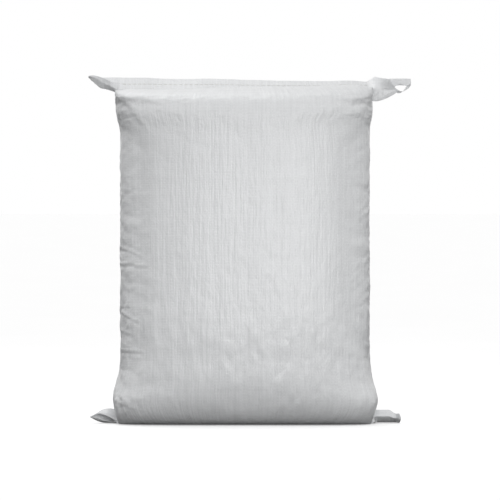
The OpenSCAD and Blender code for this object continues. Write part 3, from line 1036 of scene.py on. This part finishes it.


# a lower ear is the end of the foot hem's own strip, beyond the fold line
LAYER = 0.0007                            # distance between plies folded on each other
EAR_HEM_START = 0.2005                    # where an upper ear's turned plies begin, clear of the band


def turned_ply(low, top, start, depth, behind, corner):
    """A hem's ply turned over behind an ear: it reaches the turned length down from the ear's upper edge,
    or to just above its lower edge where that is nearer, and lies a distance behind the ear's own
    depth."""
    sign = float(np.sign(top[0][0]))
    low, top = np.abs(np.array(low)), np.abs(np.array(top))
    first = (start - top[0, 0]) / (top[-1, 0] - top[0, 0])
    out = np.concatenate(([start], top[top[:, 0] > start, 0]))
    crest = np.interp(out, top[:, 0], top[:, 1]) - 0.0004
    edge = np.interp(out, low[:, 0], low[:, 1]) + 0.0004
    edge = np.minimum(np.maximum(crest - TURNED_L, edge), crest - 0.0004)

    def back(s, up, x, z):
        return depth(first + (1.0 - first) * s, up, x, z) + behind

    return patch(tuple(zip(sign * out, edge)), tuple(zip(sign * out, crest)), 44, 16, back, corner)


def ear_lean(z, degrees):
    """How far back a root line is at height z, leaning from the mouth's crease."""
    return np.maximum(z - MOUTH_HINGE_Z, 0.0) * math.tan(math.radians(degrees))


class SACK_OT_upper_ears(bpy.types.Operator):
    """Make the two upper ears: a front and a back ply, and behind them the hem's turned plies"""
    bl_idname = "sack.upper_ears"
    bl_label = "Upper ears"

    def execute(self, context):
        self.ear(context, "right", self.right_parts())
        self.ear(context, "left", self.left_parts())
        return {"FINISHED"}

    def ear(self, context, side, parts):
        made = mesh_piece("upper_" + side + "_ear", parts, shared_material(context, "woven cloth"))
        weld(made, 0.00002)
        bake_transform(made)
        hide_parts("top_" + side + "_ear")

    def right_parts(self):
        def front_depth(s, up, x, z):
            lean = ear_lean(z, 60.0) * (1.0 - 1.30 * smooth(s * 1.8))
            belly = -0.0016 * np.sin(np.pi * np.clip(s * 1.1, 0.0, 1.0)) * np.sin(np.pi * up)
            crease = 0.0011 * (crumple(x * 1.7, z * 1.7, 31) + 0.5) * smooth(s * 6.0)
            return lean + belly + crease - 0.0012

        def back_depth(s, up, x, z):
            lean = ear_lean(z, 60.0) * (1.0 - 1.05 * smooth(s * 1.8))
            curl = -0.0050 * smooth((s - 0.72) / 0.28) * (1.0 - up)
            return lean + 0.0012 + curl + 0.0007 * hills(x, z, 0.012, 0.010, 33) * smooth(s * 5.0)

        front = patch(RIGHT_FRONT_LOW, RIGHT_FRONT_TOP, 60, 34, front_depth, (0.3, 0.0))
        back = patch(RIGHT_BACK_LOW, RIGHT_BACK_TOP, 66, 30, back_depth, (0.5, 0.0))
        centre = curve(RIGHT_STRAND, 36)
        s = np.linspace(0.0, 1.0, 36)[:, None]
        w = np.linspace(-0.0027, 0.0027, 9)[None, :] * (1.0 - 0.35 * np.sin(np.pi * s))
        twist = 0.35 + 3.6 * s
        grid = np.stack([centre[:, :1] - 0.5 * w * np.cos(twist), -0.0010 + 0.0020 * s - w * np.sin(twist),
                         centre[:, 1:] + w * np.cos(twist)], -1)
        flat = np.stack([0.7 + 0.04 * s + 0.0 * w, w + 0.0 * s], -1)
        turned = [turned_ply(RIGHT_BACK_LOW, RIGHT_BACK_TOP, EAR_HEM_START, back_depth, 0.0014 + LAYER * k,
                             (1.7 + k, 0.0))
                  for k in range(2)]
        return [shell(*sheet, SINGLE_PLY) for sheet in (front, back, (grid, flat), *turned)]

    def left_parts(self):
        def front_depth(s, up, x, z):
            forward = (0.0030 - 0.0070 * up) * smooth(s * 4.0) * (1.0 - smooth((s - 0.45) / 0.5))
            fold = 0.0022 * np.abs((up - 0.30 - 0.5 * s) * 2.0) + 0.0008 * crumple(x * 2.0, z * 2.0, 35)
            return ear_lean(z, 47.0) * (1.0 - smooth(s * 3.0)) + forward + fold

        def back_depth(s, up, x, z):
            return ear_lean(z, 47.0) + 0.0016 + 0.0005 * hills(x, z, 0.012, 0.010, 37)

        def under_depth(s, up, x, z):
            """The rest of the corner, folded up behind the front ply from its lower edge."""
            rise = 0.0050 * np.sin(0.5 * np.pi * up) * smooth(s * 4.0)
            return front_depth(s, 0.0 * up, x, z) + 0.0010 + rise

        front = patch(LEFT_FRONT_LOW, LEFT_FRONT_TOP, 60, 26, front_depth, (0.1, 0.0))
        under = patch(LEFT_FRONT_LOW[:-1], LEFT_UNDER_TOP, 52, 22, under_depth, (1.3, 0.0))
        back = patch(LEFT_BACK_LOW, LEFT_BACK_TOP, 44, 24, back_depth, (0.9, 0.0))

        def inner_depth(s, up, x, z):
            return front_depth(s, 0.0 * up, x, z) + 0.0064

        def tucked_depth(s, up, x, z):
            """The back ply's own lower half, folded up behind it."""
            return back_depth(s, up, x, z) + 0.0008 + 0.0016 * np.sin(0.5 * np.pi * up) * smooth(s * 4.0)

        tucked_top = tuple((x, z - 0.0012) for x, z in LEFT_BACK_TOP)
        tucked = patch(LEFT_BACK_LOW, tucked_top, 44, 24, tucked_depth, (1.5, 0.0))
        inner = [turned_ply(LEFT_FRONT_LOW, LEFT_FRONT_TOP, EAR_HEM_START, inner_depth, LAYER * k,
                            (1.7 + k, 0.0))
                 for k in range(2)]
        outer = [turned_ply(LEFT_BACK_LOW, LEFT_BACK_TOP, EAR_HEM_START, back_depth, 0.0031 + LAYER * k,
                            (3.7 + k, 0.0))
                 for k in range(2)]
        return [shell(*sheet, SINGLE_PLY) for sheet in (front, under, back, tucked, *inner, *outer)]


class SACK_OT_lower_ears(bpy.types.Operator):
    """Make the two lower ears: the left is folded over itself, the right is turned under and ends in a
    curl"""
    bl_idname = "sack.lower_ears"
    bl_label = "Lower ears"

    def execute(self, context):
        self.ear(context, "left", -1.0)
        self.ear(context, "right", 1.0)
        return {"FINISHED"}

    def ear(self, context, side, sign):
        parts, plies = (self.left_parts(), 2) if side == "left" else (self.right_parts(), 1)
        made = mesh_piece("lower_" + side + "_ear", parts, shared_material(context, "woven cloth"))
        weld(made, 0.00002)
        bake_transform(made)
        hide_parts("foot_" + side + "_ear")

    def left_parts(self):
        """A ply that stands behind, a flap folded over it from above, and a lip turned up along the
        floor."""
        def behind(s, up, x, z):
            return 0.0230 - 0.0185 * s + 0.0008 * crumple(x * 1.8, z * 1.8, 51)

        def flap(s, up, x, z):
            out = 0.0150 * np.cos(0.5 * np.pi * up) * (1.0 - 0.75 * s)
            return 0.0092 - 0.0060 * s - out + 0.0010 * crumple(x * 2.0, z * 2.0, 55) * (1.0 - s)

        def lip(s, up, x, z):
            out = 0.0120 * np.sin(0.5 * np.pi * up) * (1.0 - 0.8 * s)
            return 0.0085 - 0.0045 * s - out + 0.0006 * hills(x, z, 0.012, 0.010, 57)

        sheets = (patch(LOWER_LEFT_FLOOR, LOWER_LEFT_TOP, 56, 26, behind, (0.2, 0.0)),
                  patch(LOWER_LEFT_CURL, LOWER_LEFT_TOP, 56, 20, flap, (0.6, 0.0)),
                  patch(LOWER_LEFT_FLOOR, LOWER_LEFT_LIP, 56, 12, lip, (1.0, 0.0)))
        turned = [turned_ply(LOWER_LEFT_FLOOR, LOWER_LEFT_TOP, FOOT_FOLD_X, behind, 0.0012 + LAYER * k,
                             (1.4 + k, 0.0))
                  for k in range(2)]
        return [shell(grid, flat, SINGLE_PLY) for grid, flat in (*sheets, *turned)]

    def right_parts(self):
        """A band whose section is an arrowhead towards the front, with the lower half turned under,
        ending in a crumpled curl."""
        s = np.linspace(0.0, 1.0, 70)[:, None]
        t = np.linspace(0.0, 1.0, 44)[None, :]
        curl = smooth((s - 0.80) / 0.20)
        high = 0.0206 - 0.0066 * smooth((s - 0.62) / 0.30) + 0.0016 * curl
        ridge = 0.0066 * (1.0 - np.abs(2.0 * t - 1.0)) ** 0.8 * (1.0 - 0.35 * curl)
        x = 0.1965 + 0.0440 * s + 0.0022 * curl * np.sin(np.pi * t) + 0.0 * t
        z = 0.0007 + (high - 0.0007) * t
        y = 0.0095 - ridge - 0.0110 * curl * np.sin(0.5 * np.pi * curl) - 0.0045 * (1.0 - t)
        y = y + (0.0190 * smooth((x - 0.2000) / 0.004) - 0.0090) * (1.0 - t) ** 2
        crumpled = 0.0006 + 0.0013 * curl
        y = y + crumpled * crumple(x * 2.2, z * 2.2, 53)
        z = z + 0.5 * crumpled * hills(x, z, 0.007, 0.006, 54) * np.sin(np.pi * t)
        grid = np.stack([x, y, np.maximum(z, 0.0006)], -1)
        along = np.cumsum(np.linalg.norm(np.diff(grid, axis=1, prepend=grid[:, :1]), axis=-1), 1)
        return [shell(grid, np.stack([x, along], -1), DOUBLE_PLY), self.right_turned()]

    def right_turned(self):
        """The hem's turned plies, standing straight behind the band and bent forward with its curl."""
        s = np.linspace(0.0, 1.0, 40)[:, None]
        t = np.linspace(0.0, 1.0, 18)[None, :]
        x = FOOT_FOLD_X + (0.2400 - FOOT_FOLD_X) * s + 0.0 * t
        along = (x - 0.1965) / 0.0440
        curl = smooth((along - 0.80) / 0.20)
        high = np.minimum(TURNED_L, 0.0196 - 0.0066 * smooth((along - 0.62) / 0.30))
        z = 0.0008 + (high - 0.0008) * t
        y = 0.0172 - 0.0110 * curl * np.sin(0.5 * np.pi * curl) + 0.0006 * crumple(x * 2.0, z * 2.0, 57)
        return shell(np.stack([x, y, z], -1), np.stack([x + 1.0, z], -1), DOUBLE_PLY)


class SACK_OT_stage(bpy.types.Operator):
    """Make the pale floor, the lights and the camera"""
    bl_idname = "sack.stage"
    bl_label = "Stage"

    def execute(self, context):
        scene = context.scene
        scene.view_settings.view_transform = "Standard"
        self.backdrop(scene)
        self.floor(scene)
        self.softbox(scene, "key", (0.20, -1.15, 0.28), (0.04, 0.0, 0.24), 0.55, 4.3)
        self.softbox(scene, "rim", (-0.50, 0.70, 1.85), (-0.05, 0.0, 0.52), 1.2, 7.0)
        self.camera(scene)
        return {"FINISHED"}

    def backdrop(self, scene):
        """A white surround. It lights the sack more from level with it than from overhead."""
        world = bpy.data.worlds.new("studio")
        world.use_nodes = True
        tree = world.node_tree
        direction = tree.nodes.new("ShaderNodeTexCoord").outputs["Generated"]
        split = tree.nodes.new("ShaderNodeSeparateXYZ")
        tree.links.new(direction, split.inputs[0])
        fade = tree.nodes.new("ShaderNodeMapRange")
        fade.inputs["To Min"].default_value = 1.18
        fade.inputs["To Max"].default_value = 0.55
        tree.links.new(split.outputs["Z"], fade.inputs["Value"])
        seen = tree.nodes.new("ShaderNodeLightPath").outputs["Is Camera Ray"]
        choose = tree.nodes.new("ShaderNodeMix")
        choose.inputs[3].default_value = 1.0
        tree.links.new(seen, choose.inputs[0])
        tree.links.new(fade.outputs[0], choose.inputs[2])
        background = tree.nodes["Background"]
        background.inputs["Color"].default_value = (1.0, 1.0, 1.0, 1.0)
        tree.links.new(choose.outputs[0], background.inputs["Strength"])
        scene.world = world

    def floor(self, scene):
        """A wide pale floor, which throws back less light on the sack's underside than it shows."""
        bpy.ops.mesh.primitive_plane_add(size=80.0, location=(0.0, 0.0, -0.0004))
        floor = bpy.context.object
        floor.name = "floor"
        paint = Paint("pale floor")
        colour = scene.sack_colours.floor
        place = paint.node("ShaderNodeTexCoord", {}, {}).outputs["Object"]
        cloud = paint.noise(place, 3.0, 2.0)
        tint = paint.mix(cloud, shade_of(colour, 0.98), shade_of(colour, 1.02))
        plain = paint.node("ShaderNodeBsdfDiffuse", {}, {"Color": tint})
        dim = paint.node("ShaderNodeBsdfDiffuse", {}, {"Color": shade_of(colour, 0.05)})
        glow = paint.node("ShaderNodeEmission", {}, {"Color": tint, "Strength": 0.36})
        shown = paint.node("ShaderNodeAddShader", {}, [plain.outputs[0], glow.outputs[0]])
        seen = paint.node("ShaderNodeLightPath", {}, {}).outputs["Is Camera Ray"]
        mixed = paint.node("ShaderNodeMixShader", {}, [seen, dim.outputs[0], shown.outputs[0]])
        paint.tree.links.new(mixed.outputs[0], paint.tree.nodes["Material Output"].inputs["Surface"])
        floor.data.materials.append(paint.material)

    def softbox(self, scene, name, place, target, size, power):
        data = bpy.data.lights.new(name, "AREA")
        data.energy = power
        data.size = size
        lamp = bpy.data.objects.new(name, data)
        lamp.location = place
        lamp.visible_camera = False
        scene.collection.objects.link(lamp)
        aim(lamp, target)

    def camera(self, scene):
        away, seen_half, middle_x, middle_z = 6.0, 0.5 * 0.7765, 0.0078, 0.270
        data = bpy.data.cameras.new("camera")
        data.lens = data.sensor_width / (2.0 * math.tan(math.asin(seen_half / away)))
        camera = bpy.data.objects.new("camera", data)
        camera.location = (middle_x, -away, middle_z + away * math.tan(math.radians(1.0)))
        scene.collection.objects.link(camera)
        aim(camera, (middle_x, 0.0, middle_z))
        scene.camera = camera


def aim(thing, target):
    """Turns a light or camera, which looks along its -Z axis, towards a point."""
    thing.rotation_mode = "QUATERNION"
    thing.rotation_quaternion = (Vector(target) - thing.location).to_track_quat("-Z", "Y")


class SACK_PT_panel(bpy.types.Panel):
    """The sack's sizes, colours and pieces"""
    bl_idname = "SACK_PT_panel"
    bl_label = "Woven sack"
    bl_space_type = "VIEW_3D"
    bl_region_type = "UI"
    bl_category = "Sack"

    def draw(self, context):
        for group in (context.scene.sack_sizes, context.scene.sack_colours):
            box = self.layout.box()
            for name in group.__annotations__:
                box.prop(group, name)
        for piece in PIECES:
            self.layout.operator(piece.bl_idname)


PIECES = (SACK_OT_skin, SACK_OT_goods, SACK_OT_hems, SACK_OT_stitches, SACK_OT_upper_ears, SACK_OT_lower_ears,
          SACK_OT_stage)
CLASSES = (SackSizes, SackColours) + PIECES + (SACK_PT_panel,)


def register():
    for cls in CLASSES:
        bpy.utils.register_class(cls)
    bpy.types.Scene.sack_sizes = bpy.props.PointerProperty(type=SackSizes)
    bpy.types.Scene.sack_colours = bpy.props.PointerProperty(type=SackColours)


def unregister():
    del bpy.types.Scene.sack_colours
    del bpy.types.Scene.sack_sizes
    for cls in reversed(CLASSES):
        bpy.utils.unregister_class(cls)


def main():
    register()
    bpy.ops.sack.skin()
    bpy.ops.sack.goods()
    bpy.ops.sack.hems()
    bpy.ops.sack.stitches()
    bpy.ops.sack.upper_ears()
    bpy.ops.sack.lower_ears()
    bpy.ops.sack.stage()


if __name__ == "__main__":
    main()
